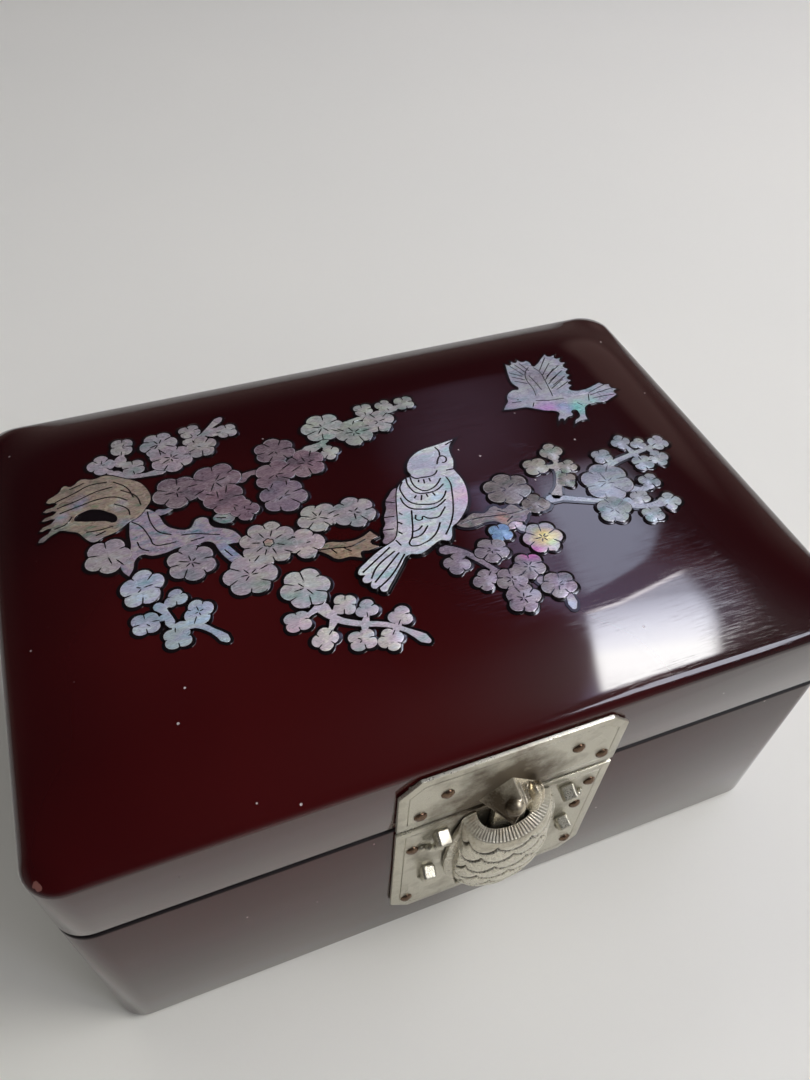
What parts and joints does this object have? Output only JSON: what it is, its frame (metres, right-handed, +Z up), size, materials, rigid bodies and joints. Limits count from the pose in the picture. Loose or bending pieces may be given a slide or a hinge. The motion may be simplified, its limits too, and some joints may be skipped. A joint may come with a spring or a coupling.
{
  "type": "jewelry box",
  "caption": "Hinged lacquered jewelry box with a domed lid, shell inlay of birds and blossom, a sprung turtle-shaped front latch, lid mirror, lined compartments and ring rolls.",
  "frame": {"origin": "middle of the base felt's underside, on the surface that the box stands on", "axes": "+X to the right along the length, +Y to the back where the hinges are, +Z up; the latch faces -Y"},
  "size_m": [0.18, 0.1399, 0.0895],
  "materials": {
    "lacquered_wood": "deep red gloss lacquer",
    "bare_wood": "plain sanded board",
    "felt": "pressed felt",
    "velvet": "velvet",
    "ring_velvet": "velvet over foam",
    "satin": "satin",
    "card": "plain card",
    "mirror": "silvered glass",
    "nickel": "aged nickel plate, softly worn",
    "bronze_nails": "darkened round heads",
    "spring_steel": "spring strip",
    "shell_pale": "polished iridescent shell",
    "shell_silver": "polished iridescent shell",
    "shell_mauve": "polished iridescent shell",
    "shell_amber": "polished iridescent shell"
  },
  "bodies": {
    "base": {"body_front_board": "lacquered_wood", "body_back_board": "lacquered_wood", "body_left_board": "lacquered_wood", "body_right_board": "lacquered_wood", "base_board": "bare_wood", "base_felt": "felt", "lining_front": "velvet", "lining_back": "velvet", "lining_left": "velvet", "lining_right": "velvet", "lining_floor": "velvet", "divider_long": "velvet", "divider_cross": "velvet", "ring_bed": "velvet", "ring_roll_1": "ring_velvet", "ring_roll_2": "ring_velvet", "ring_roll_3": "ring_velvet", "ring_roll_4": "ring_velvet", "ring_roll_5": "ring_velvet", "lower_plate": "nickel", "lower_plate_nails": "bronze_nails", "shell_spring": "spring_steel", "hinge_left_body_leaf": "nickel", "hinge_right_body_leaf": "nickel", "hinge_left_pin": "nickel", "hinge_right_pin": "nickel", "hinge_body_nails": "bronze_nails"},
    "lid": {"lid_front_board": "lacquered_wood", "lid_back_board": "lacquered_wood", "lid_left_board": "lacquered_wood", "lid_right_board": "lacquered_wood", "lid_top_board": "lacquered_wood", "mirror_backing": "card", "mirror_glass": "mirror", "mirror_frame": "satin", "lid_lining_front": "satin", "lid_lining_back": "satin", "lid_lining_left": "satin", "lid_lining_right": "satin", "upper_plate": "nickel", "upper_plate_nails": "bronze_nails", "turtle_head": "nickel", "hinge_left_lid_leaf": "nickel", "hinge_right_lid_leaf": "nickel", "hinge_lid_nails": "bronze_nails", "inlay_trunk": "shell_amber", "inlay_leaves": "shell_amber", "inlay_sprays_left": "shell_mauve", "inlay_sprays_middle": "shell_silver", "inlay_sprays_right": "shell_silver", "inlay_perched_bird": "shell_pale", "inlay_flying_bird": "shell_pale"},
    "latch": {"turtle_shell": "nickel", "shell_pin": "nickel"}
  },
  "joints": [
    {"name": "lid_hinge", "type": "hinge", "parent": "base", "child": "lid", "pos_m": [0, 0.0644, 0.06], "axis": [-1, 0, 0], "range_deg": [0, 100]},
    {"name": "shell_tilt", "type": "hinge", "parent": "base", "child": "latch", "pos_m": [0.0025, -0.0659, 0.026], "axis": [1, 0, 0], "range_deg": [0, 8], "stiffness_Nm_per_rad": 0.02, "springref_deg": -20.05, "deforming": ["shell_spring"]}
  ]
}
